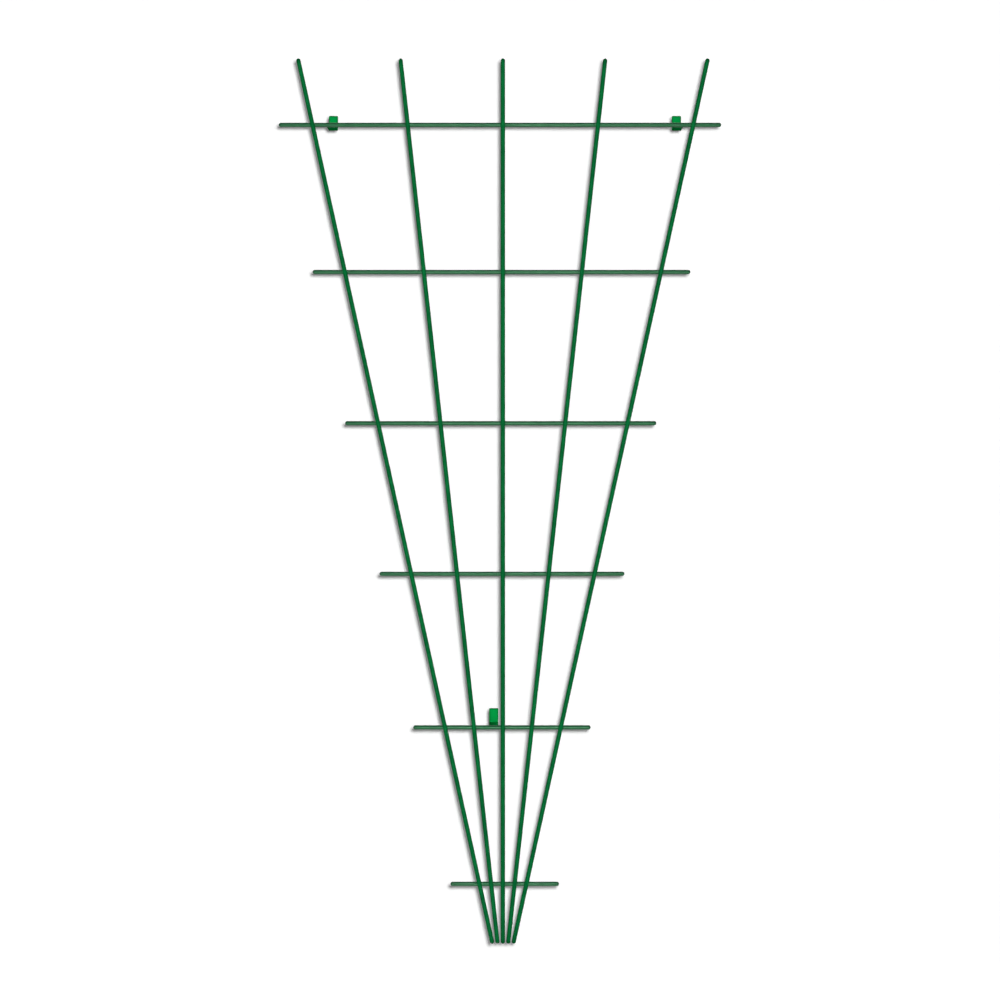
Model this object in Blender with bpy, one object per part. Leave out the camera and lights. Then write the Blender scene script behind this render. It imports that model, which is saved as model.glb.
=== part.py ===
"""Fan trellis for a wall, welded from plastic-coated steel rod.

Five straight uprights stand close together at the foot and spread out to the top like a fan.
Six level crossbars lie behind them and get longer towards the top. Each upright is sunk a
little into every crossbar that it is welded to. Three strips of flat steel, welded to the back
of two crossbars, reach back to the wall and turn up against it.

The front looks along -Y, the wall is at +Y and +Z is up. The origin is under the middle of the
top crossbar and in the middle of the depth, level with the feet of the uprights. The crossbars
are not quite centred on the middle upright, and each has its own shift. All sizes are in metres.
"""

import itertools
import math

import bmesh
import bpy
from mathutils import Vector

# Driving dimensions: the rods, measured over their coating
ROD_DIAMETER = 0.0075
WELD_SINK = 0.001  # depth that an upright is pressed into a crossbar by the weld
CLEARANCE = 0.0003  # air between two solids that touch

# Driving dimensions: the fan
WIDTH = 0.752  # the top crossbar's length
HEIGHT = 1.5  # from the uprights' feet to their tips
FOOT_LENGTH = 0.099  # from the feet up to the lowest crossbar's axis
LOWER_FIELDS = (0.266, 0.261)  # from crossbar to crossbar, upwards from the lowest one
UPPER_FIELDS = (0.250, 0.257)  # from crossbar to crossbar, downwards from the top one
TIP_LENGTH = 0.111  # from the top crossbar's axis up to the tips
FOOT_GAP = 0.0013  # air between neighbouring uprights, level with their feet
CROSSBAR_OVERHANG = 0.053  # from an outer upright's axis to a centred crossbar's tip

# Driving dimensions: each crossbar's middle, to the right of the middle upright, the top one first
CROSSBAR_SHIFTS = (-0.0049, -0.0024, -0.0038, -0.0015, -0.0016, 0.0031)

# Driving dimensions: the wall brackets, bent from strip
WALL_DISTANCE = 0.042  # from the crossbars' axes to the wall
STRIP_WIDTH = 0.016
STRIP_THICKNESS = 0.002
PLATE_HEIGHT = 0.026  # from the strip's underside to the top edge of the wall plate
BEND_RADIUS = 0.001  # inside the bend
PLATE_CORNER = 0.0015  # radius of the wall plate's two free corners
EDGE_ROUNDING = 0.0004  # the coating rounds every cut edge of the strip
WELD_GRIP = math.radians(40)  # how far round the crossbar's back the weld reaches, each way
WELD_EDGE = 0.001  # thickness of the weld at its edges on the crossbar
WELD_LENGTH = 0.0028  # how far the weld runs out along the strip
LEFT_BRACKET_INSET = 0.088  # from the top crossbar's left tip to the bracket's middle
RIGHT_BRACKET_INSET = 0.071  # from its right tip to the other bracket's middle
LOWER_BRACKET_GAP = 0.004  # air between the lower bracket's strip and the middle upright

# Fineness of the round surfaces
ROD_SIDES = 24
DOME_STEPS = 5
ARC_STEPS = 6
CORNER_STEPS = 4
EDGE_STEPS = 2
CIRCULAR_PROFILE = 0.5
SHARP_ANGLE = math.radians(35)
MERGE_DISTANCE = 1e-6

# Pieces: the uprights from left to right
UPRIGHTS = (
    "upright_outer_left",
    "upright_inner_left",
    "upright_middle",
    "upright_inner_right",
    "upright_outer_right",
)
OUTERMOST = len(UPRIGHTS) // 2  # place of the last upright, counted from the middle one

# Sizes and places that follow from the driving dimensions
ROD_RADIUS = ROD_DIAMETER / 2
TOP_CROSSBAR_HEIGHT = HEIGHT - TIP_LENGTH
FOOT_SPACING = ROD_DIAMETER + FOOT_GAP  # between neighbouring uprights' axes at their feet
TOP_SPACING = (WIDTH / 2 - CROSSBAR_OVERHANG) / OUTERMOST  # the same at the top crossbar
AXIS_STEP = ROD_DIAMETER - WELD_SINK + CLEARANCE  # upright axis to crossbar axis, in depth
DEPTH = ROD_RADIUS + AXIS_STEP + WALL_DISTANCE
WALL_Y = DEPTH / 2
CROSSBAR_Y = WALL_Y - WALL_DISTANCE
UPRIGHT_Y = CROSSBAR_Y - AXIS_STEP
MIDDLE_X = -CROSSBAR_SHIFTS[0]  # the middle upright's axis

# Pieces: each wall bracket's crossbar, and where along it the bracket is
WALL_BRACKETS = {
    "wall_bracket_upper_left": ("crossbar_1", LEFT_BRACKET_INSET - WIDTH / 2),
    "wall_bracket_upper_right": ("crossbar_1", WIDTH / 2 - RIGHT_BRACKET_INSET),
    "wall_bracket_lower": ("crossbar_5", MIDDLE_X - ROD_RADIUS - LOWER_BRACKET_GAP - STRIP_WIDTH / 2),
}

# The coating: its greens as they look, in sRGB, and its satin finish
UPRIGHT_GREEN = "0A6B35"
CROSSBAR_GREEN = "1C6E41"
BRACKET_GREEN = "02973C"
COATING_ROUGHNESS = 0.38


def clear_scene():
    """Remove every object, so that the model starts from nothing."""
    for old in list(bpy.data.objects):
        bpy.data.objects.remove(old, do_unlink=True)


def linear(hex_colour):
    """An sRGB hex colour as linear RGBA."""
    parts = [int(hex_colour[i:i + 2], 16) / 255 for i in (0, 2, 4)]
    return [p / 12.92 if p <= 0.04045 else ((p + 0.055) / 1.055) ** 2.4 for p in parts] + [1.0]


def coated_steel(name, hex_colour):
    """Satin plastic coating over steel."""
    material = bpy.data.materials.new(name)
    material.use_nodes = True
    shader = material.node_tree.nodes["Principled BSDF"]
    shader.inputs["Base Color"].default_value = linear(hex_colour)
    shader.inputs["Roughness"].default_value = COATING_ROUGHNESS
    return material


def mesh_object(name, mesh_builder, material):
    """A smooth-shaded object with sharp edges kept, made from a bmesh."""
    bmesh.ops.recalc_face_normals(mesh_builder, faces=mesh_builder.faces)
    mesh = bpy.data.meshes.new(name)
    mesh_builder.to_mesh(mesh)
    mesh_builder.free()
    mesh.shade_smooth()
    mesh.set_sharp_from_angle(angle=SHARP_ANGLE)
    if material:
        mesh.materials.append(material)
    return bpy.data.objects.new(name, mesh)


def arc(centre, radius, start, end, steps=ARC_STEPS):
    """Points on a circle from one angle to another, both ends included."""
    angles = [start + (end - start) * i / steps for i in range(steps + 1)]
    return [(centre[0] + radius * math.cos(a), centre[1] + radius * math.sin(a)) for a in angles]


def rod(name, start, end, radius, material):
    """A round bar from tip to tip, with half-round ends.

    start and end are the middles of the two end domes. Half the bar's outline, from pole to
    pole, is spun about the bar's axis.
    """
    axis = end - start
    half = axis.length / 2
    outline = arc((0, -half), radius, -math.pi / 2, 0, DOME_STEPS)
    outline += arc((0, half), radius, 0, math.pi / 2, DOME_STEPS)
    builder = bmesh.new()
    points = [builder.verts.new((abs(across), 0, along)) for across, along in outline]
    edges = [builder.edges.new(pair) for pair in zip(points, points[1:])]
    bmesh.ops.spin(
        builder,
        geom=points + edges,
        cent=(0, 0, 0),
        axis=(0, 0, 1),
        angle=2 * math.pi,
        steps=ROD_SIDES,
    )
    bmesh.ops.remove_doubles(builder, verts=builder.verts, dist=MERGE_DISTANCE)
    piece = mesh_object(name, builder, material)
    piece.location = (start + end) / 2
    piece.rotation_euler = (0, math.atan2(axis.x, axis.z), 0)
    return piece


def upright_spacing(height):
    """Distance between neighbouring uprights' axes, at a height above the feet."""
    return FOOT_SPACING + (TOP_SPACING - FOOT_SPACING) * height / TOP_CROSSBAR_HEIGHT


def upright_x(place, height):
    """Where an upright's axis is, at a height above the feet."""
    return MIDDLE_X + place * upright_spacing(height)


def crossbar_heights():
    """Each crossbar's name and the height of its axis above the feet, the top one first.

    The field between the upper and the lower crossbars takes the height that is left.
    """
    upper = itertools.accumulate((TOP_CROSSBAR_HEIGHT,) + UPPER_FIELDS, lambda z, field: z - field)
    lower = itertools.accumulate((FOOT_LENGTH,) + LOWER_FIELDS)
    heights = list(upper) + list(lower)[::-1]
    return {"crossbar_%d" % number: height for number, height in enumerate(heights, start=1)}


def upright(name, place, material, extra_radius=0.0):
    """One upright, its tips level with the feet and the top of the fan."""
    low = ROD_RADIUS
    high = HEIGHT - ROD_RADIUS
    start = Vector((upright_x(place, low), UPRIGHT_Y, low))
    end = Vector((upright_x(place, high), UPRIGHT_Y, high))
    return rod(name, start, end, ROD_RADIUS + extra_radius, material)


def weld_seats():
    """The uprights, fatter by the clearance, as cutters for their seats in the crossbars."""
    seats = bpy.data.collections.new("weld_seats")
    bpy.context.scene.collection.children.link(seats)
    for place, name in enumerate(UPRIGHTS, start=-OUTERMOST):
        cutter = upright("seat_for_" + name, place, None, CLEARANCE)
        cutter.hide_render = True
        cutter.display_type = "WIRE"
        seats.objects.link(cutter)
    return seats


def crossbar(name, height, shift, seats, material):
    """One crossbar, past the outer uprights at both ends, with a shallow seat for each upright."""
    reach = OUTERMOST * upright_spacing(height) + CROSSBAR_OVERHANG - ROD_RADIUS
    middle = MIDDLE_X + shift
    start = Vector((middle - reach, CROSSBAR_Y, height))
    end = Vector((middle + reach, CROSSBAR_Y, height))
    piece = rod(name, start, end, ROD_RADIUS, material)
    cut = piece.modifiers.new("weld_seats", "BOOLEAN")
    cut.operation = "DIFFERENCE"
    cut.solver = "EXACT"
    cut.operand_type = "COLLECTION"
    cut.collection = seats
    return piece


def bracket_outline():
    """The bent strip from the side, as (depth, height) points about the crossbar's axis.

    It starts in the weld's seat behind the crossbar, runs over the weld and along the top of
    the strip, up the front of the wall plate, down its back and along the underside.
    """
    half = STRIP_THICKNESS / 2
    seat_radius = ROD_RADIUS + CLEARANCE
    seat = arc((0, 0), seat_radius, -WELD_GRIP, WELD_GRIP, 2 * ARC_STEPS)

    edge_depth = (seat_radius + WELD_EDGE) * math.cos(WELD_GRIP)
    edge_height = (seat_radius + WELD_EDGE) * math.sin(WELD_GRIP)
    rise = edge_height - half
    hollow = (WELD_LENGTH ** 2 + rise ** 2) / (2 * rise)
    weld_end = edge_depth + WELD_LENGTH
    sweep = math.asin(WELD_LENGTH / hollow)
    over = arc((weld_end, half + hollow), hollow, -math.pi / 2 - sweep, -math.pi / 2)
    under = [(depth, -height) for depth, height in reversed(over)]

    plate_front = WALL_DISTANCE - STRIP_THICKNESS
    plate_top = PLATE_HEIGHT - half
    bend = (plate_front - BEND_RADIUS, half + BEND_RADIUS)
    inside = arc(bend, BEND_RADIUS, -math.pi / 2, 0)
    outside = arc(bend, BEND_RADIUS + STRIP_THICKNESS, 0, -math.pi / 2)
    plate = [(plate_front, plate_top), (WALL_DISTANCE, plate_top)]
    return seat + over + inside + plate + outside + under


def wall_bracket(name, place_x, height, material):
    """One strip from the back of a crossbar to the wall, bent up against it."""
    builder = bmesh.new()
    side = [builder.verts.new((-STRIP_WIDTH / 2, y, z)) for y, z in bracket_outline()]
    face = builder.faces.new(side)
    swept = bmesh.ops.extrude_face_region(builder, geom=[face])["geom"]
    far_side = [item for item in swept if isinstance(item, bmesh.types.BMVert)]
    bmesh.ops.translate(builder, verts=far_side, vec=(STRIP_WIDTH, 0, 0))

    plate_top = PLATE_HEIGHT - STRIP_THICKNESS / 2
    corners = [
        edge for edge in builder.edges
        if all(abs(v.co.z - plate_top) < CLEARANCE for v in edge.verts)
        and abs(edge.verts[0].co.x - edge.verts[1].co.x) < CLEARANCE
    ]
    bmesh.ops.bevel(
        builder,
        geom=corners,
        offset=PLATE_CORNER,
        segments=CORNER_STEPS,
        profile=CIRCULAR_PROFILE,
        affect="EDGES",
    )
    piece = mesh_object(name, builder, material)
    piece.location = (place_x, CROSSBAR_Y, height)
    rounding = piece.modifiers.new("coating_edges", "BEVEL")
    rounding.width = EDGE_ROUNDING
    rounding.segments = EDGE_STEPS
    rounding.limit_method = "ANGLE"
    rounding.angle_limit = SHARP_ANGLE
    return piece


def main():
    """Build every piece of the trellis."""
    clear_scene()
    pieces = bpy.data.collections.new("fan_trellis")
    bpy.context.scene.collection.children.link(pieces)
    upright_coat = coated_steel("coated_steel_upright", UPRIGHT_GREEN)
    crossbar_coat = coated_steel("coated_steel_crossbar", CROSSBAR_GREEN)
    bracket_coat = coated_steel("coated_steel_bracket", BRACKET_GREEN)

    for place, name in enumerate(UPRIGHTS, start=-OUTERMOST):
        pieces.objects.link(upright(name, place, upright_coat))

    seats = weld_seats()
    heights = crossbar_heights()
    for (name, height), shift in zip(heights.items(), CROSSBAR_SHIFTS):
        pieces.objects.link(crossbar(name, height, shift, seats, crossbar_coat))

    for name, (carrier, place_x) in WALL_BRACKETS.items():
        pieces.objects.link(wall_bracket(name, place_x, heights[carrier], bracket_coat))


main()
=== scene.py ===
"""Looks of the fan trellis: plastic-coated rods, the coat in their welded crossings and the bent wall
brackets, in front of a white wall.

Every piece is a surface of two parameters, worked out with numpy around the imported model. Its places
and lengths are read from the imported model's boxes, so the pieces stay where the solids are. The front
looks along -Y, the wall is at +Y, +Z is up, and all sizes are in metres.
"""

import math

import bpy
import numpy as np
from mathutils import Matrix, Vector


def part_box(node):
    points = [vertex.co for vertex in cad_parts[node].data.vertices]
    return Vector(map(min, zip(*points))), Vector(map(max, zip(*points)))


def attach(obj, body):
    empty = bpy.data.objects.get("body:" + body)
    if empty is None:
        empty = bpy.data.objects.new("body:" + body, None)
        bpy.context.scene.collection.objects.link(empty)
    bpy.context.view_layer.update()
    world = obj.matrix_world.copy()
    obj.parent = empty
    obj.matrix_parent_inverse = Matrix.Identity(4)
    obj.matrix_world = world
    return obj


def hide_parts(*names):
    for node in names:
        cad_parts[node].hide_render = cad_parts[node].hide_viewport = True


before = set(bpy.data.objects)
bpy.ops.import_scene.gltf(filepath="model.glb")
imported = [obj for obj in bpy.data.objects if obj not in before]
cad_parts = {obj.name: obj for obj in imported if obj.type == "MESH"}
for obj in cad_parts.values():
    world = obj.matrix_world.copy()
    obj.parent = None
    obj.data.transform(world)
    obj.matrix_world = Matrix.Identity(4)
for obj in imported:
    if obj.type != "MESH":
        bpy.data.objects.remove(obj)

bl_info = {
    "name": "Fan trellis",
    "version": (1, 0, 0),
    "blender": (4, 5, 0),
    "location": "3D View > Sidebar > Trellis",
    "description": "Coated rods, welds and wall brackets of a fan trellis, in front of a white wall",
    "category": "Add Mesh",
}

BODY = "root"
UPRIGHTS = (
    "upright_outer_left",
    "upright_inner_left",
    "upright_middle",
    "upright_inner_right",
    "upright_outer_right",
)
CROSSBARS = ("crossbar_1", "crossbar_2", "crossbar_3", "crossbar_4", "crossbar_5", "crossbar_6")
BRACKETS = {
    "wall_bracket_upper_left": "crossbar_1",
    "wall_bracket_upper_right": "crossbar_1",
    "wall_bracket_lower": "crossbar_5",
}

# Fineness of the surfaces
ROD_SIDES = 48
DOME_STEPS = 10
RING_STEP = 0.006
SEAM_REACH = 0.010  # rings are closer together this far from a weld
SEAM_STEP = 0.001
WEB_SIDES = 72
WEB_STEPS = 8
ARC_STEPS = 12
STRIP_STEP = 0.0012
HALVINGS = 40  # of the interval that holds a web's edge
NEAR = 1e-9  # keeps a square root off zero, and two columns of points apart

# Shares of other sizes
EDGE_SHARE = 0.9  # of the edge's depth, so that a strip's edge keeps a narrow flat
WEB_HEART = 1 / 3  # of the rod's radius, how far from the contact a web closes inside the rods
SEAT_SHARE = 0.85  # of the rod's radius, how far out a bracket closes inside the rod
CORNER_FADE = 4  # corner radii below the plate's top, where the drop of its corners begins

# The coat's waves: length along the rod, share of the whole height, turns round the rod
WAVES = ((0.163, 0.34, 0), (0.071, 0.26, 1), (0.037, 0.22, 1), (0.019, 0.18, 2))
GOLDEN_ANGLE = math.pi * (3 - math.sqrt(5))

# The coat's patterns: size of a patch in metres, and detail of the noise
CLOUDS = (0.020, 3.0)
SHEEN = (0.007, 2.0)
PEEL = (0.0014, 1.0)
RUN_LENGTH, RUN_WIDTH, RUN_DETAIL = 0.045, 0.0022, 2.0
CLOUD_RANGE = (0.35, 0.75)  # noise at which the deeper green begins and is full
SHEEN_RANGE = (0.3, 0.7)  # noise at which the coat is smoothest and roughest
SHEEN_SPREAD = 0.06  # of the roughness, each way
PEEL_BUMP = (0.5, 0.00003)  # strength, and height in metres
RUN_BUMP = (0.6, 0.00006)

# Each kind's specular level and roughness, and whether its coat has runs along it
FINISHES = {"upright": (0.02, 0.60, True), "crossbar": (0.46, 0.40, True), "bracket": (0.0, 0.60, False)}

ALONG_UV = "along_rod"
# Painted shade: a darker green at the strip's edges and the rods' ends, standing in for the shade on
# rounded edges and end domes
PAINTED_SHADE_ATTRIBUTE = "rim"  # on each point: 1 at an edge of the strip or an end of a rod, falling to 0 at the rim's width
LAMP_WATTS = 4 * math.pi ** 2  # a lamp of this power lights a facing white surface to 1


def linear(hex_colour):
    """An sRGB hex colour as linear RGBA."""
    parts = [int(hex_colour[i:i + 2], 16) / 255 for i in (0, 2, 4)]
    return [p / 12.92 if p <= 0.04045 else ((p + 0.055) / 1.055) ** 2.4 for p in parts] + [1.0]


def colour_property(name, description, hex_colour):
    """A colour that the panel shows, with its default as sRGB hex."""
    return bpy.props.FloatVectorProperty(
        name=name, description=description, subtype="COLOR", size=4, min=0, max=1,
        default=linear(hex_colour),
    )


def length_property(name, description, default):
    """A length that the panel shows."""
    return bpy.props.FloatProperty(
        name=name, description=description, unit="LENGTH", precision=5, default=default,
    )


def share_property(name, description, default):
    """A plain number that the panel shows."""
    return bpy.props.FloatProperty(name=name, description=description, default=default)


class TrellisSizes(bpy.types.PropertyGroup):
    """Sizes of the coat and the strip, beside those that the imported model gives."""

    ripple: length_property("Ripple", "Height of the waves in the dipped coat", 0.00006)
    swell: length_property("Swell", "Extra coat on a rod next to a weld", 0.00022)
    swell_reach: length_property("Swell reach", "How far the extra coat runs along a rod", 0.0045)
    web_gap: length_property("Web gap", "Widest air gap that the coat bridges at a crossing", 0.0015)
    web_sink: length_property("Web sink", "How far a web's edges lie under the rods' surface", 0.00003)
    strip_thickness: length_property("Strip thickness", "Thickness of the brackets' strip", 0.002)
    bend_radius: length_property("Bend radius", "Inside radius of the brackets' bend", 0.001)
    edge_depth: length_property(
        "Edge depth", "How far a face of the strip falls away at its rounded edges", 0.00095
    )
    edge_width: length_property("Edge width", "How wide the strip's edges are rounded", 0.0013)
    plate_corner: length_property("Plate corner", "Radius of the plates' free corners", 0.0015)
    # Painted shade: how wide the darker green runs in from the strip's edges
    rim_width: length_property("Rim width", "How wide the coat is thicker along the strip's edges", 0.0036)
    # Painted shade: how far the darker green runs in from a rod's end
    end_shade_width: length_property("End width", "How far the darker coat over a rod's cut end runs", 0.0060)
    weld_length: length_property("Weld length", "How far a bracket's weld runs out along the strip", 0.0028)
    weld_grip: bpy.props.FloatProperty(
        name="Weld grip", description="How far round the crossbar a bracket's weld reaches, each way",
        subtype="ANGLE", default=math.radians(52),
    )


class TrellisColours(bpy.types.PropertyGroup):
    """The greens of the coat."""

    upright: colour_property("Upright", "Green of the uprights", "066E36")
    upright_deep: colour_property("Upright, deep", "Darker green in the uprights' coat", "055D2E")
    # Painted shade: a dark green over the uprights' cut ends, standing in for the shade on their end domes
    upright_rim: colour_property("Upright, rim", "Green over the uprights' cut ends", "07341B")
    # Painted shade: the crossbars' greens are a darker copy of the uprights' coat, which darkens the
    # crossbars most where their highlight doesn't reach
    crossbar: colour_property("Crossbar", "Green of the crossbars", "134F2D")
    crossbar_deep: colour_property("Crossbar, deep", "Darker green in the crossbars' coat", "114329")
    # Painted shade: a darker green over the crossbars' cut ends, standing in for the shade on their end
    # domes
    crossbar_rim: colour_property("Crossbar, rim", "Green over the crossbars' cut ends", "104428")
    crossbar_gloss: colour_property("Crossbar, gloss", "Tint of the crossbars' highlight", "B2FFC8")
    bracket: colour_property("Bracket", "Green of the brackets", "059A46")
    bracket_deep: colour_property("Bracket, deep", "Darker green in the brackets' coat", "058A3E")
    # Painted shade: a darker green along the strip's edges and the plates' tops, standing in for the shade
    # on their rounded edges
    bracket_rim: colour_property(
        "Bracket, rim", "Green of the thicker coat along the strip's edges", "036F31"
    )
    stage: colour_property("Stage", "White of the wall and the floor", "FDFDFD")


class TrellisStage(bpy.types.PropertyGroup):
    """The camera, the lamps, the light from all round, the wall and the floor."""

    camera: bpy.props.FloatVectorProperty(
        name="Camera", description="Where the camera stands", subtype="TRANSLATION", unit="LENGTH",
        size=3, default=(0.0, -2.3764, 0.845),
    )
    focal_length: share_property("Focal length", "Of the lens, in millimetres", 50.0)
    picture_shift: share_property("Shift", "Of the picture, as a share of its width", -0.0550)
    lamp: bpy.props.FloatVectorProperty(
        name="Lamp", description="Where the lamp stands", subtype="TRANSLATION", unit="LENGTH",
        size=3, default=(0.0430, -2.3764, 0.8890),
    )
    back_lamp: bpy.props.FloatVectorProperty(
        name="Back lamp", description="Where the lamp behind the trellis stands", subtype="TRANSLATION",
        unit="LENGTH", size=3, default=(0.6, 2.4, 1.4),
    )
    lamp_radius: length_property("Lamp radius", "Of the soft lamps' globes", 0.040)
    lamp_level: share_property("Lamp level", "Brightness of a white surface in a lamp's light alone", 0.85)
    fill_level: share_property(
        "Fill level", "Brightness of an upright white surface in the fill alone", 0.15
    )
    spare_white: share_property(
        "Spare white", "How far past white the bare wall is, which keeps it clean", 0.03
    )
    wall_gap: length_property(
        "Wall gap", "From the plates back to the wall, where rods and plates cast equal shadows", 0.200
    )
    floor_drop: length_property("Floor drop", "From the feet down to the floor", 0.13)
    stage_reach: length_property("Stage reach", "Of the wall and the floor, each way", 4.0)


def add_node(tree, kind, settings=None, values=None, links=None):
    """Adds a node with its options, the values of its free sockets and the sources of its linked ones."""
    made = tree.nodes.new(kind)
    for option, setting in (settings or {}).items():
        setattr(made, option, setting)
    for socket, value in (values or {}).items():
        made.inputs[socket].default_value = value
    for socket, source in (links or {}).items():
        tree.links.new(source, made.inputs[socket])
    return made


def greatest(tree, sources):
    """The greatest of several values, such as whether a ray is of any of several kinds."""
    result = sources[0]
    for source in sources[1:]:
        result = add_node(
            tree, "ShaderNodeMath", {"operation": "MAXIMUM"}, links={0: result, 1: source}
        ).outputs["Value"]
    return result


def noise(tree, size, detail, place):
    """Noise from 0 to 1 with patches of this size, at the places that the vector gives."""
    return add_node(
        tree, "ShaderNodeTexNoise", values={"Scale": 1 / size, "Detail": detail}, links={"Vector": place}
    ).outputs["Fac"]


def bump(tree, strength_height, height, below=None):
    """A surface bumped by a height from 0 to 1, on top of another bump if there is one."""
    strength, distance = strength_height
    links = {"Height": height, "Normal": below} if below else {"Height": height}
    return add_node(
        tree, "ShaderNodeBump", values={"Strength": strength, "Distance": distance}, links=links
    ).outputs["Normal"]


def bare_material(name):
    """A material with nothing in its tree but the output."""
    material = bpy.data.materials.new(name)
    material.use_nodes = True
    tree = material.node_tree
    tree.nodes.clear()
    return material, tree, add_node(tree, "ShaderNodeOutputMaterial")


def dipped_coat(name, colour, deep, rim, gloss, specular, roughness, along):
    """Polyethylene coat, dipped on over welded steel and left to flow out.

    It gives the eye a nearly even green with a soft, broad sheen, whose tint is the gloss colour.
    Clouds of a deeper green 20 mm across show where the coat is thicker, and the sheen wanders a
    little over 7 mm. The painted-shade colour is painted shade: it darkens the strip's edges and the
    plates' tops, and the rods' cut ends, where it stands in for the shade on their rounded edges and
    end domes. The skin of the coat has an orange peel of 1.4 mm, which is finer than a pixel of the
    render and shows only from close by, and on a rod it also has faint runs along its length.
    """
    material, tree, output = bare_material(name)
    place = add_node(tree, "ShaderNodeTexCoord").outputs["Object"]
    cloud_share = add_node(
        tree, "ShaderNodeMapRange", values={"From Min": CLOUD_RANGE[0], "From Max": CLOUD_RANGE[1]},
        links={"Value": noise(tree, *CLOUDS, place)},
    )
    green = add_node(
        tree, "ShaderNodeMix", {"data_type": "RGBA"}, {"A": colour, "B": deep},
        {"Factor": cloud_share.outputs["Result"]},
    )
    # Painted shade: the darker green mixed in at the strip's edges and the rods' ends
    shade_share = add_node(tree, "ShaderNodeAttribute", {"attribute_name": PAINTED_SHADE_ATTRIBUTE})
    green = add_node(
        tree, "ShaderNodeMix", {"data_type": "RGBA"}, {"B": rim},
        {"A": green.outputs["Result"], "Factor": shade_share.outputs["Fac"]},
    )
    sheen = add_node(
        tree, "ShaderNodeMapRange",
        values={
            "From Min": SHEEN_RANGE[0],
            "From Max": SHEEN_RANGE[1],
            "To Min": roughness - SHEEN_SPREAD,
            "To Max": roughness + SHEEN_SPREAD,
        },
        links={"Value": noise(tree, *SHEEN, place)},
    )
    skin = bump(tree, PEEL_BUMP, noise(tree, *PEEL, place))
    if along:
        run_place = add_node(
            tree, "ShaderNodeMapping", values={"Scale": (1 / RUN_LENGTH, 1 / RUN_WIDTH, 1.0)},
            links={"Vector": add_node(tree, "ShaderNodeUVMap", {"uv_map": ALONG_UV}).outputs["UV"]},
        )
        runs = noise(tree, 1.0, RUN_DETAIL, run_place.outputs["Vector"])
        skin = bump(tree, RUN_BUMP, runs, below=skin)
    shader = add_node(
        tree, "ShaderNodeBsdfPrincipled", values={"Specular IOR Level": specular, "Specular Tint": gloss},
        links={
            "Base Color": green.outputs["Result"],
            "Roughness": sheen.outputs["Result"],
            "Normal": skin,
        },
    )
    tree.links.new(shader.outputs["BSDF"], output.inputs["Surface"])
    return material


def coat_of(kind):
    """The coat of one kind of piece, made the first time that it is asked for."""
    name = "polyethylene_coat_" + kind
    if name in bpy.data.materials:
        return bpy.data.materials[name]
    colours = bpy.context.scene.trellis_colours
    greens = [getattr(colours, kind + shade) for shade in ("", "_deep", "_rim")]
    gloss = colours.crossbar_gloss if kind == "crossbar" else linear("FFFFFF")
    return dipped_coat(name, *greens, gloss, *FINISHES[kind])


def grid_faces(rows, columns, wrap_rows=False):
    """Quads from each ring of points to the next. The columns wrap round, and the rows do if asked."""
    row = np.arange(rows if wrap_rows else rows - 1)[:, None]
    column = np.arange(columns)[None, :]
    near, far = row * columns, (row + 1) % rows * columns
    beside = (column + 1) % columns
    return np.stack([near + column, near + beside, far + beside, far + column], axis=-1).reshape(-1, 4)


def place_piece(name, points, faces, kind, replaced=None):
    """Makes one smooth piece of the trellis from its points and faces, hangs it on the body, and hides the
    imported node that it replaces, if any.
    """
    mesh = bpy.data.meshes.new(name)
    mesh.from_pydata(points.reshape(-1, 3).tolist(), [], faces)
    mesh.shade_smooth()
    mesh.materials.append(coat_of(kind))
    piece = bpy.data.objects.new(name, mesh)
    bpy.context.scene.collection.objects.link(piece)
    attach(piece, BODY)
    if replaced:
        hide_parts(replaced)
    return piece


def set_painted_shade(piece, from_edge, width):
    """Writes how much painted shade each point gets: 1 less its distance from an edge over the shade's
    width, not below 0.
    """
    rim = piece.data.attributes.new(PAINTED_SHADE_ATTRIBUTE, "FLOAT", "POINT")
    rim.data.foreach_set("value", np.clip(1 - from_edge / width, 0, 1).ravel())


def box_of(node):
    """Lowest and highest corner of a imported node."""
    low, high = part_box(node)
    return np.array(low), np.array(high)


def rod_radius():
    """Radius over the coat, from the depth of the middle upright."""
    low, high = box_of(UPRIGHTS[len(UPRIGHTS) // 2])
    return (high[1] - low[1]) / 2


def upright_axis(node):
    """The two middles of an upright's end domes, the foot first.

    The box of a leaning rod with half-round ends is the box of its two dome middles, grown by the
    radius. An upright on the right leans to the right, one on the left to the left.
    """
    low, high = box_of(node)
    radius = rod_radius()
    centre = (low + high) / 2
    side = np.sign(round(centre[0], 4))
    spread = (high[0] - low[0]) / 2 - radius
    foot = np.array((centre[0] - side * spread, centre[1], low[2] + radius))
    tip = np.array((centre[0] + side * spread, centre[1], high[2] - radius))
    return foot, tip


def crossbar_axis(node):
    """The two middles of a crossbar's end domes, the left one first."""
    low, high = box_of(node)
    radius = rod_radius()
    height = (low[2] + high[2]) / 2
    depth = high[1] - radius
    return np.array((low[0] + radius, depth, height)), np.array((high[0] - radius, depth, height))


def crossing(upright, crossbar):
    """Where an upright passes a crossbar: the point on the upright's axis level with the bar."""
    foot, tip = upright_axis(upright)
    share = (crossbar_axis(crossbar)[0][2] - foot[2]) / (tip[2] - foot[2])
    return foot + (tip - foot) * share


def stations(length, welds):
    """Distances along a rod at which it has a ring: even ones, and closer ones next to each weld."""
    even = np.linspace(0, length, int(round(length / RING_STEP)) + 1)
    near = np.arange(-SEAM_REACH, SEAM_REACH + SEAM_STEP / 2, SEAM_STEP)
    close = (np.asarray(welds)[:, None] + near[None, :]).ravel()
    close = close[(close > 0) & (close < length)]
    away = np.abs(even[:, None] - np.asarray(welds)[None, :]).min(axis=1) > SEAM_REACH
    away[[0, -1]] = True
    return np.unique(np.round(np.concatenate([even[away], close]), 6))


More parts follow.
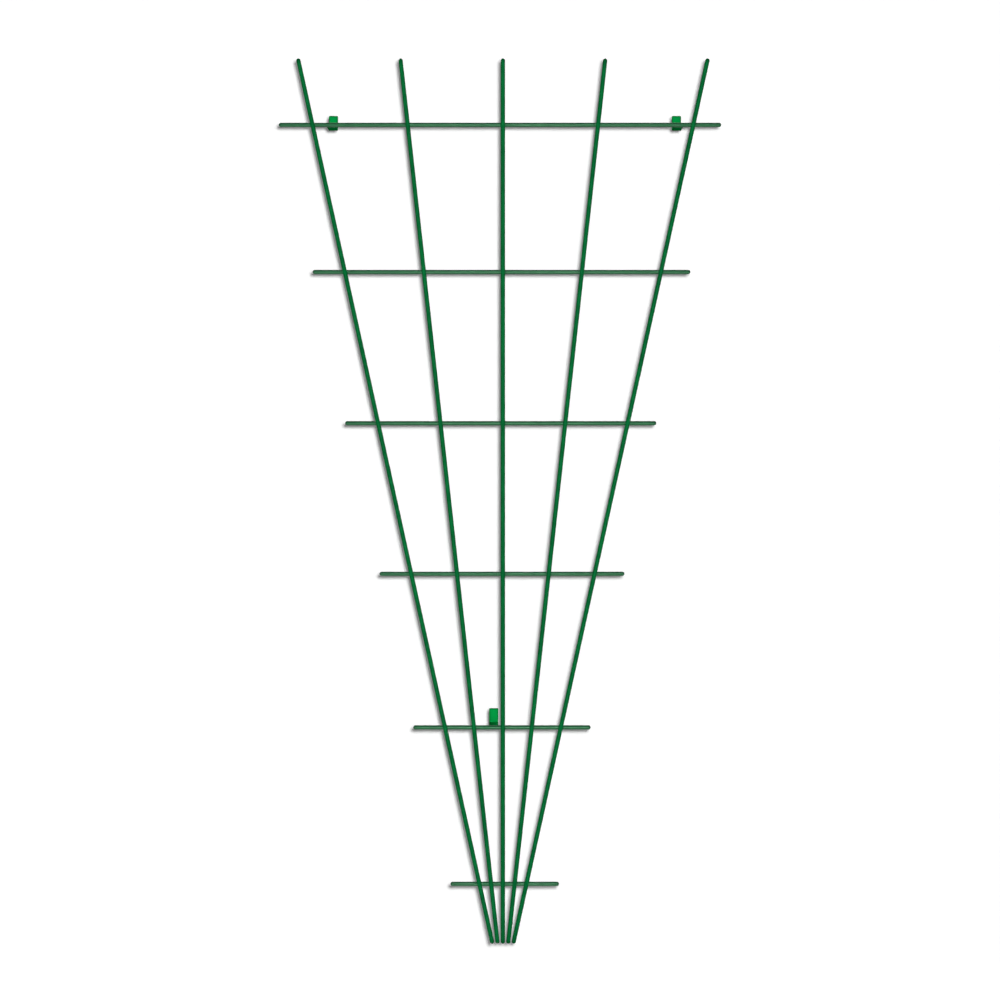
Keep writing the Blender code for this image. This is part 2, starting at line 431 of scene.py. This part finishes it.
def rod_uv(s, length, radius):
    """Each face corner's place in metres: along the rod and round it, the rings' faces first.

    A face that closes the seam runs on past the whole turn. The two fans of triangles at the poles
    come last, each with its pole half a step round.
    """
    column = np.arange(ROD_SIDES)
    step = 2 * math.pi * radius / ROD_SIDES
    low, high = np.repeat(s[:-1], ROD_SIDES), np.repeat(s[1:], ROD_SIDES)
    round_low = np.tile(column * step, len(s) - 1)
    round_high = round_low + step
    quads = np.stack([low, round_low, low, round_high, high, round_high, high, round_low], axis=1)
    v = column * step
    same = np.ones(ROD_SIDES)
    foot = np.stack([same * s[0], v + step, same * s[0], v, -same * radius, v + step / 2], axis=1)
    pole = length + radius
    tip = np.stack([same * s[-1], v, same * s[-1], v + step, same * pole, v + step / 2], axis=1)
    return np.concatenate([quads.ravel(), foot.ravel(), tip.ravel()])


def coated_rod(name, start, end, welds, weld_side, number, kind, replaced):
    """A straight rod in its coat.

    A point is start + axis * s + (across * cos a + depth * sin a) * r, where s runs along the rod and
    a round it. On the rod r is the radius less the coat's waves, and more by the swell of the coat at
    each weld, on the side of the weld: swell * exp(-(distance / reach)^2) * ((1 + side * sin a) / 2)^3.
    At the ends r and s run round a quarter circle to a pole. The waves are a sum of cosines of s and
    a whole number of turns of a, shifted by the rod's number, so that no two rods have the same.
    """
    sizes = bpy.context.scene.trellis_sizes
    radius = rod_radius()
    length = np.linalg.norm(end - start)
    axis = (end - start) / length
    depth = np.array((0.0, 1.0, 0.0))
    across = np.cross(depth, axis)

    quarter = np.linspace(0, math.pi / 2, DOME_STEPS + 1)[1:-1]
    body = stations(length, welds)
    s = np.concatenate([-radius * np.cos(quarter), body, length + radius * np.cos(quarter[::-1])])
    profile = np.concatenate([np.sin(quarter), np.ones(len(body)), np.sin(quarter[::-1])])
    a = np.linspace(0, 2 * math.pi, ROD_SIDES, endpoint=False)

    wave = sum(
        share * np.cos(2 * math.pi * s[:, None] / wavelength + turns * a[None, :] + GOLDEN_ANGLE * phase)
        for phase, (wavelength, share, turns) in enumerate(WAVES, start=number)
    )
    away = (s[:, None] - np.asarray(welds)[None, :]) / sizes.swell_reach
    facing = (1 + weld_side * np.sin(a)) / 2
    swell = sizes.swell * np.exp(-away ** 2).sum(axis=1)[:, None] * facing[None, :] ** 3
    r = profile[:, None] * (radius - sizes.ripple * (1 - wave) / 2 + swell)
    around = across * np.cos(a)[:, None] + depth * np.sin(a)[:, None]
    rings = start + axis * s[:, None, None] + around[None, :, :] * r[:, :, None]

    rows = len(s)
    poles = np.stack([start - axis * radius, end + axis * radius])
    points = np.concatenate([rings.reshape(-1, 3), poles])
    foot_pole, tip_pole = rows * ROD_SIDES, rows * ROD_SIDES + 1
    column = np.arange(ROD_SIDES)
    beside = (column + 1) % ROD_SIDES
    top = (rows - 1) * ROD_SIDES
    foot_fan = np.stack([beside, column, np.full(ROD_SIDES, foot_pole)], axis=1)
    tip_fan = np.stack([top + column, top + beside, np.full(ROD_SIDES, tip_pole)], axis=1)
    faces = grid_faces(rows, ROD_SIDES).tolist() + foot_fan.tolist() + tip_fan.tolist()
    piece = place_piece(name, points, faces, kind, replaced)

    # Painted shade over the rod's ends: a darker green that stands in for the shade on its end domes
    from_end = np.minimum(s, length - s) + radius
    set_painted_shade(piece, np.concatenate([np.repeat(from_end, ROD_SIDES), (0, 0)]), sizes.end_shade_width)
    layer = piece.data.uv_layers.new(name=ALONG_UV)
    layer.data.foreach_set("uv", rod_uv(s, length, radius))


def web_rings(upright, crossbar):
    """The coat's web in one crossing, as rings of points round the contact of the two rods.

    At a distance q from the contact and an angle a round it, the upright's back is at the depth
    y_u + sqrt(R^2 - (q cos(a + lean))^2) and the crossbar's front at y_b - sqrt(R^2 - (q sin a)^2).
    The web ends where the gap between them is web_gap. From there a quadratic curve runs from one rod
    to the other, with its control point where the two tangents meet, and a point in the middle of the
    weld closes the ring inside the rods.
    """
    sizes = bpy.context.scene.trellis_sizes
    radius = rod_radius()
    foot, tip = upright_axis(upright)
    lean = math.atan2(tip[0] - foot[0], tip[2] - foot[2])
    centre = crossing(upright, crossbar)
    bar_depth = crossbar_axis(crossbar)[0][1]
    a = np.linspace(0, 2 * math.pi, WEB_SIDES, endpoint=False)
    off_upright, off_bar = np.cos(a + lean), np.sin(a)

    def sides(q):
        """How far the upright's back and the crossbar's front are from their axes."""
        return [np.sqrt(radius ** 2 - (q * off) ** 2 + NEAR) for off in (off_upright, off_bar)]

    low, high = np.zeros(WEB_SIDES), radius / np.maximum(np.abs(off_upright), np.abs(off_bar))
    for _ in range(HALVINGS):
        middle = (low + high) / 2
        gap = bar_depth - centre[1] - sum(sides(middle))
        narrow = gap < sizes.web_gap
        low, high = np.where(narrow, middle, low), np.where(narrow, high, middle)
    q = (low + high) / 2
    back, front = sides(q)
    y_back, y_front = centre[1] + back - sizes.web_sink, bar_depth - front + sizes.web_sink
    slope_back, slope_front = -q * off_upright ** 2 / back, q * off_bar ** 2 / front
    q_meet = q - (y_front - y_back) / (slope_front - slope_back)
    y_meet = y_back + slope_back * (q_meet - q)

    t = np.linspace(0, 1, WEB_STEPS + 1)[None, :]
    curve_q = ((1 - t) ** 2 + t ** 2) * q[:, None] + 2 * t * (1 - t) * q_meet[:, None]
    curve_y = (1 - t) ** 2 * y_back[:, None] + 2 * t * (1 - t) * y_meet[:, None] + t ** 2 * y_front[:, None]
    inner_y = np.full((WEB_SIDES, 1), (centre[1] + bar_depth) / 2)
    rings_q = np.concatenate([curve_q, np.full((WEB_SIDES, 1), radius * WEB_HEART)], axis=1)
    rings_y = np.concatenate([curve_y, inner_y], axis=1)
    rings_x = centre[0] + rings_q * np.cos(a)[:, None]
    rings_z = centre[2] + rings_q * np.sin(a)[:, None]
    return np.stack([rings_x, rings_y, rings_z], axis=-1)


def arc(centre, radius, start, end):
    """Points on a circle in the bracket's side view, from one angle to another.

    With two radii, in depth and in height, it is an ellipse.
    """
    angle = np.linspace(start, end, ARC_STEPS + 1)
    return np.array(centre) + np.array(radius) * np.stack([np.cos(angle), np.sin(angle)], axis=1)


def straight(start, end):
    """Points on a straight line in the bracket's side view, without its two ends."""
    start, end = np.array(start), np.array(end)
    steps = max(2, int(np.linalg.norm(end - start) / STRIP_STEP))
    share = np.linspace(0, 1, steps + 1)[1:-1, None]
    return start + (end - start) * share


def weld_curve(grip, reach, half, radius):
    """The weld's hollow surface, from the crossbar's back out along the strip's upper face.

    It is a quadratic curve from the point on the rod at the angle of the grip to the point on the
    strip at reach, with its control point where the rod's tangent meets the strip's face.
    """
    on_rod = radius * np.array((math.cos(grip), math.sin(grip)))
    meet = np.array((on_rod[0] + (on_rod[1] - half) * math.tan(grip), half))
    on_strip = np.array((reach, half))
    t = np.linspace(0, 1, ARC_STEPS + 1)[:, None]
    return (1 - t) ** 2 * on_rod + 2 * t * (1 - t) * meet + t ** 2 * on_strip


def bracket_outline(distance, height, inset):
    """The bent strip and its weld from the side, as (depth, height) about the crossbar's axis.

    It runs back along the underside, round the bend, up the plate's back, over its top, down its
    front, round the inside of the bend and forward along the upper face. It is closed inside the rod.
    With an inset the strip is that much thinner on both faces, about the same bend, and every point
    moves on a straight line as the inset grows.
    """
    sizes = bpy.context.scene.trellis_sizes
    radius = rod_radius()
    thickness = sizes.strip_thickness
    half = thickness / 2 - inset
    front, back = distance - thickness + inset, distance - inset
    bend = (distance - thickness - sizes.bend_radius, thickness / 2 + sizes.bend_radius)
    reach = radius + sizes.weld_length
    weld = weld_curve(sizes.weld_grip, reach, half, radius)
    shoulder = height - sizes.edge_width
    kept = 1 - inset / sizes.edge_depth
    over_edge = (sizes.edge_depth * kept, sizes.edge_width * kept)
    seat = arc((0, 0), radius * SEAT_SHARE, sizes.weld_grip, -sizes.weld_grip)
    return np.concatenate([
        weld * (1, -1),
        straight((reach, -half), (bend[0], -half)),
        arc(bend, sizes.bend_radius + thickness - inset, -math.pi / 2, 0),
        straight((back, bend[1]), (back, shoulder)),
        arc((back - over_edge[0], shoulder), over_edge, 0, math.pi / 2),
        arc((front + over_edge[0], shoulder), over_edge, math.pi / 2, math.pi),
        straight((front, shoulder), (front, bend[1])),
        arc(bend, sizes.bend_radius + inset, 0, -math.pi / 2),
        straight((bend[0], half), (reach, half)),
        weld[::-1],
        seat,
    ])


def coated_bracket(name, node, crossbar):
    """One wall bracket: its side view carried across the strip's width.

    Near each edge of the strip the outline draws in by share * depth * (1 - cos t) while the width
    still grows by width * sin t, which rounds the edge to nearly a quarter ellipse. The plate's top
    comes down at its corners by corner - sqrt(corner^2 - over^2), where over is how far a point is
    past the start of the corner. The drop fades in smoothly up the plate.
    """
    sizes = bpy.context.scene.trellis_sizes
    low, high = box_of(node)
    left, _ = crossbar_axis(crossbar)
    distance, height = high[1] - left[1], high[2] - left[2]
    half_width = (high[0] - low[0]) / 2
    outline = bracket_outline(distance, height, 0.0)
    drawn_in = bracket_outline(distance, height, sizes.edge_depth * EDGE_SHARE)

    corner = sizes.plate_corner
    sines = np.sin(np.linspace(0, math.pi / 2, ARC_STEPS + 1))
    edge_x = half_width - sizes.edge_width * (1 - sines)
    corner_x = half_width - corner + corner * sines[:-1]
    corner_x = corner_x[corner_x < edge_x[0] - NEAR]
    middle_x = np.arange(0, half_width - max(corner, sizes.edge_width), STRIP_STEP)
    right = np.concatenate([middle_x, corner_x, edge_x])
    x = np.concatenate([-right[::-1], right[1:]])
    past = np.maximum(np.abs(x) - (half_width - sizes.edge_width), 0) / sizes.edge_width
    fall = 1 - np.sqrt(np.maximum(1 - past ** 2, 0))
    over = np.maximum(np.abs(x) - (half_width - corner), 0)
    drop = corner - np.sqrt(np.maximum(corner ** 2 - over ** 2, 0))

    section = outline[None, :, :] + (drawn_in - outline)[None, :, :] * fall[:, None, None]
    start = height - CORNER_FADE * corner
    share = np.clip((section[:, :, 1] - start) / (height - corner - start), 0, 1)
    share = share * share * (3 - 2 * share)
    z = section[:, :, 1] - drop[:, None] * share
    wide = np.broadcast_to(x[:, None], z.shape) + (low[0] + high[0]) / 2
    points = np.stack([wide, section[:, :, 0] + left[1], z + left[2]], axis=-1)
    rows, columns = z.shape
    faces = grid_faces(rows, columns).tolist()
    faces.append(list(range(columns))[::-1])
    faces.append(list(range((rows - 1) * columns, rows * columns)))
    piece = place_piece(name, points, faces, "bracket", node)
    # Painted shade along the strip's edges and the plate's top, standing in for the shade on its rounded
    # edges
    from_edge = np.minimum((half_width - np.abs(x))[:, None], height - drop[:, None] - z)
    set_painted_shade(piece, from_edge, sizes.rim_width)


class TRELLIS_OT_uprights(bpy.types.Operator):
    """Make the five uprights in their coat"""

    bl_idname = "trellis.uprights"
    bl_label = "Uprights"

    def execute(self, context):
        for number, node in enumerate(UPRIGHTS):
            foot, tip = upright_axis(node)
            welds = [np.linalg.norm(crossing(node, bar) - foot) for bar in CROSSBARS]
            coated_rod("coated_" + node, foot, tip, welds, 1, number, "upright", node)
        return {"FINISHED"}


class TRELLIS_OT_crossbars(bpy.types.Operator):
    """Make the six crossbars in their coat"""

    bl_idname = "trellis.crossbars"
    bl_label = "Crossbars"

    def execute(self, context):
        for number, node in enumerate(CROSSBARS, start=len(UPRIGHTS)):
            left, right = crossbar_axis(node)
            welds = [crossing(upright, node)[0] - left[0] for upright in UPRIGHTS]
            coated_rod("coated_" + node, left, right, welds, -1, number, "crossbar", node)
        return {"FINISHED"}


class TRELLIS_OT_weld_webs(bpy.types.Operator):
    """Make the webs of coat in the crossings, one piece for each crossbar"""

    bl_idname = "trellis.weld_webs"
    bl_label = "Weld webs"

    def execute(self, context):
        for bar in CROSSBARS:
            rings = np.stack([web_rings(upright, bar) for upright in UPRIGHTS])
            count, rows, columns = rings.shape[:3]
            one = grid_faces(rows, columns, wrap_rows=True)
            faces = (one[None, :, :] + (np.arange(count) * rows * columns)[:, None, None]).reshape(-1, 4)
            place_piece("coat_webs_" + bar, rings, faces.tolist(), "crossbar")
        return {"FINISHED"}


class TRELLIS_OT_wall_brackets(bpy.types.Operator):
    """Make the three wall brackets with their welds"""

    bl_idname = "trellis.wall_brackets"
    bl_label = "Wall brackets"

    def execute(self, context):
        for node, bar in BRACKETS.items():
            coated_bracket("coated_" + node, node, bar)
        return {"FINISHED"}


def stage_material(name, colour, level):
    """Matt white paint, seen from its front only.

    It gives the eye pure white with the trellis's shadow on it. The level is its own light, which
    the camera sees, also in a reflection, and which lights nothing. From behind it isn't there, and it
    sends no light back to the trellis, whose back is lit by the back lamp through it.
    """
    material, tree, output = bare_material(name)
    paint = add_node(tree, "ShaderNodeBsdfDiffuse", values={"Color": colour})
    path = add_node(tree, "ShaderNodeLightPath").outputs
    seen = greatest(tree, [path["Is Camera Ray"], path["Is Glossy Ray"], path["Is Transmission Ray"]])
    strength = add_node(tree, "ShaderNodeMath", {"operation": "MULTIPLY"}, links={0: seen})
    level(tree, strength.inputs[1])
    glow = add_node(tree, "ShaderNodeEmission", links={"Strength": strength.outputs["Value"]})
    lit = add_node(
        tree, "ShaderNodeAddShader", links={0: paint.outputs["BSDF"], 1: glow.outputs["Emission"]}
    )
    nothing = add_node(tree, "ShaderNodeBsdfTransparent")
    behind = add_node(tree, "ShaderNodeNewGeometry").outputs["Backfacing"]
    absent = greatest(tree, [behind, path["Is Diffuse Ray"], path["Is Shadow Ray"]])
    one_sided = add_node(
        tree, "ShaderNodeMixShader",
        links={0: absent, 1: lit.outputs["Shader"], 2: nothing.outputs["BSDF"]},
    )
    tree.links.new(one_sided.outputs["Shader"], output.inputs["Surface"])
    return material


def stage_plane(name, corners, material):
    """One flat rectangle of the stage."""
    mesh = bpy.data.meshes.new(name)
    mesh.from_pydata(corners, [], [(0, 1, 2, 3)])
    mesh.materials.append(material)
    plane = bpy.data.objects.new(name, mesh)
    bpy.context.scene.collection.objects.link(plane)


def soft_lamp(name, place, glints):
    """A soft globe lamp whose light is as strong near as far, and which the gloss shows if it glints."""
    stage = bpy.context.scene.trellis_stage
    light = bpy.data.lights.new(name, "POINT")
    light.shadow_soft_size = stage.lamp_radius
    light.energy = stage.lamp_level * LAMP_WATTS
    light.use_nodes = True
    emission = light.node_tree.nodes["Emission"]
    falloff = add_node(light.node_tree, "ShaderNodeLightFalloff", values={"Strength": 1.0})
    light.node_tree.links.new(falloff.outputs["Constant"], emission.inputs["Strength"])
    bulb = bpy.data.objects.new(name, light)
    bulb.location = place
    bulb.visible_camera = False
    bulb.visible_glossy = glints
    bpy.context.scene.collection.objects.link(bulb)


def studio_air(fill_level):
    """The light from all round, which is white to the camera.

    The fill and what the coat's gloss reflects come mainly from the front and the back. They go with
    the square of a direction's depth, whose mean over the half sphere before an upright face is a half.
    """
    world = bpy.data.worlds.new("studio_air")
    world.use_nodes = True
    tree = world.node_tree
    tree.nodes.clear()
    path = add_node(tree, "ShaderNodeLightPath").outputs
    seen = greatest(tree, [path["Is Camera Ray"], path["Is Transmission Ray"]])
    way = add_node(tree, "ShaderNodeTexCoord").outputs["Generated"]
    depth = add_node(tree, "ShaderNodeSeparateXYZ", links={"Vector": way}).outputs["Y"]
    square = add_node(tree, "ShaderNodeMath", {"operation": "MULTIPLY"}, links={0: depth, 1: depth})
    full = add_node(
        tree, "ShaderNodeMapRange", values={"To Min": 2 * fill_level, "To Max": 1.0},
        links={"Value": path["Is Glossy Ray"]},
    )
    fill = add_node(
        tree, "ShaderNodeMath", {"operation": "MULTIPLY"},
        links={0: full.outputs["Result"], 1: square.outputs["Value"]},
    )
    level = add_node(
        tree, "ShaderNodeMapRange", values={"To Max": 1.0},
        links={"Value": seen, "To Min": fill.outputs["Value"]},
    )
    air = add_node(
        tree, "ShaderNodeBackground", values={"Color": (1, 1, 1, 1)},
        links={"Strength": level.outputs["Result"]},
    )
    add_node(tree, "ShaderNodeOutputWorld", links={"Surface": air.outputs["Background"]})
    return world


def photograph_camera(stage):
    """The camera, level and square to the trellis as in the photograph."""
    data = bpy.data.cameras.new("photograph_camera")
    data.lens = stage.focal_length
    data.shift_y = stage.picture_shift
    camera = bpy.data.objects.new("photograph_camera", data)
    camera.location = stage.camera
    camera.rotation_euler = (math.pi / 2, 0, 0)
    bpy.context.scene.collection.objects.link(camera)
    return camera


class TRELLIS_OT_stage(bpy.types.Operator):
    """Make the wall, the floor, the light and the camera"""

    bl_idname = "trellis.stage"
    bl_label = "Stage"

    def execute(self, context):
        stage = context.scene.trellis_stage
        white = context.scene.trellis_colours.stage
        _, high = box_of("wall_bracket_lower")
        wall_y = high[1] + stage.wall_gap
        lamp = np.array(stage.lamp)

        def wall_level(tree, socket):
            """White less what the lamp and the fill give at this point of the wall."""
            place = add_node(tree, "ShaderNodeTexCoord").outputs["Object"]
            away = add_node(
                tree, "ShaderNodeVectorMath", {"operation": "DISTANCE"}, {1: tuple(lamp)}, {0: place}
            )
            slant = add_node(
                tree, "ShaderNodeMath", {"operation": "DIVIDE"}, {0: wall_y - lamp[1]},
                {1: away.outputs["Value"]},
            )
            rest = add_node(
                tree, "ShaderNodeMath", {"operation": "MULTIPLY_ADD"},
                {1: -stage.lamp_level * white[0], 2: 1 + stage.spare_white - stage.fill_level * white[0]},
                {0: slant.outputs["Value"]},
            )
            tree.links.new(rest.outputs["Value"], socket)

        def floor_level(_, socket):
            """White less what the fill gives, which is half its level on a level face."""
            socket.default_value = 1 - stage.fill_level / 2 * white[0]

        left, right = -stage.stage_reach, stage.stage_reach
        front, top, floor = -stage.stage_reach, stage.stage_reach, -stage.floor_drop
        stage_plane(
            "studio_wall",
            [(left, wall_y, floor), (right, wall_y, floor), (right, wall_y, top), (left, wall_y, top)],
            stage_material("matt_white_wall", white, wall_level),
        )
        stage_plane(
            "studio_floor",
            [(left, front, floor), (right, front, floor), (right, wall_y, floor), (left, wall_y, floor)],
            stage_material("matt_white_floor", white, floor_level),
        )

        soft_lamp("front_lamp", stage.lamp, glints=True)
        # It shines through the wall and would glint on the rods' edges, where the front view shows none
        soft_lamp("back_lamp", stage.back_lamp, glints=False)

        context.scene.world = studio_air(stage.fill_level)
        context.scene.camera = photograph_camera(stage)
        context.scene.view_settings.view_transform = "Standard"
        return {"FINISHED"}


OPERATORS = (
    TRELLIS_OT_uprights,
    TRELLIS_OT_crossbars,
    TRELLIS_OT_weld_webs,
    TRELLIS_OT_wall_brackets,
    TRELLIS_OT_stage,
)


class TRELLIS_PT_panel(bpy.types.Panel):
    """The trellis's sizes, colours and pieces in the 3D view's sidebar"""

    bl_idname = "TRELLIS_PT_panel"
    bl_label = "Fan trellis"
    bl_space_type = "VIEW_3D"
    bl_region_type = "UI"
    bl_category = "Trellis"

    def draw(self, context):
        for name in PROPERTY_GROUPS:
            group = getattr(context.scene, name)
            for key in group.bl_rna.properties.keys():
                if key not in ("name", "rna_type"):
                    self.layout.prop(group, key)
        for operator in OPERATORS:
            self.layout.operator(operator.bl_idname)


PROPERTY_GROUPS = {
    "trellis_sizes": TrellisSizes,
    "trellis_colours": TrellisColours,
    "trellis_stage": TrellisStage,
}


def register():
    """Make the operators, the panel and the scene's properties known to Blender."""
    for cls in (*PROPERTY_GROUPS.values(), *OPERATORS, TRELLIS_PT_panel):
        bpy.utils.register_class(cls)
    for name, group in PROPERTY_GROUPS.items():
        setattr(bpy.types.Scene, name, bpy.props.PointerProperty(type=group))


def unregister():
    """Take them away again."""
    for name in PROPERTY_GROUPS:
        delattr(bpy.types.Scene, name)
    for cls in (TRELLIS_PT_panel, *OPERATORS, *PROPERTY_GROUPS.values()):
        bpy.utils.unregister_class(cls)


def main():
    """Make every piece and the stage."""
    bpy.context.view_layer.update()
    register()
    bpy.ops.trellis.uprights()
    bpy.ops.trellis.crossbars()
    bpy.ops.trellis.weld_webs()
    bpy.ops.trellis.wall_brackets()
    bpy.ops.trellis.stage()


if __name__ == "__main__":
    main()
